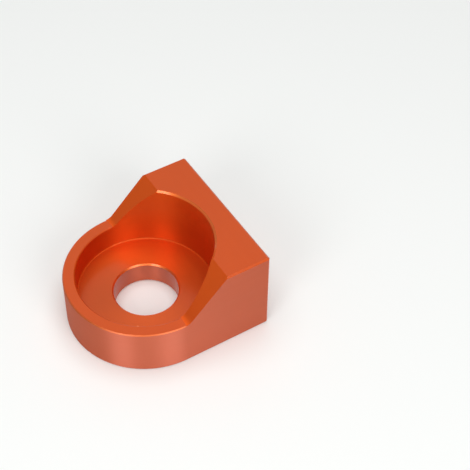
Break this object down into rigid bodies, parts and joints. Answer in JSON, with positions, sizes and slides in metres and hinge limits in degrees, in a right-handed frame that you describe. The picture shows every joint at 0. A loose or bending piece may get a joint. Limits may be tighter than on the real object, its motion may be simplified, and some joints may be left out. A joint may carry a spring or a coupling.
{
  "type": "rear axle chain adjuster block",
  "caption": "D-shaped axle block with a round nut recess over its axle bore and a ramp up to a tall flat end that a chain adjuster bolt pushes on.",
  "frame": {"origin": "on the axle bore's axis, at the face that lies against the swingarm", "axes": "+Z along the axle bore, away from the swingarm and towards the axle nut; +X towards the tall flat end that the adjuster bolt pushes on"},
  "size_m": [0.0538, 0.05, 0.0292],
  "materials": {
    "anodised_aluminium": "satin orange anodising over a fine machined surface"
  },
  "bodies": {
    "root": {"axle_block": "anodised_aluminium"}
  },
  "joints": []
}
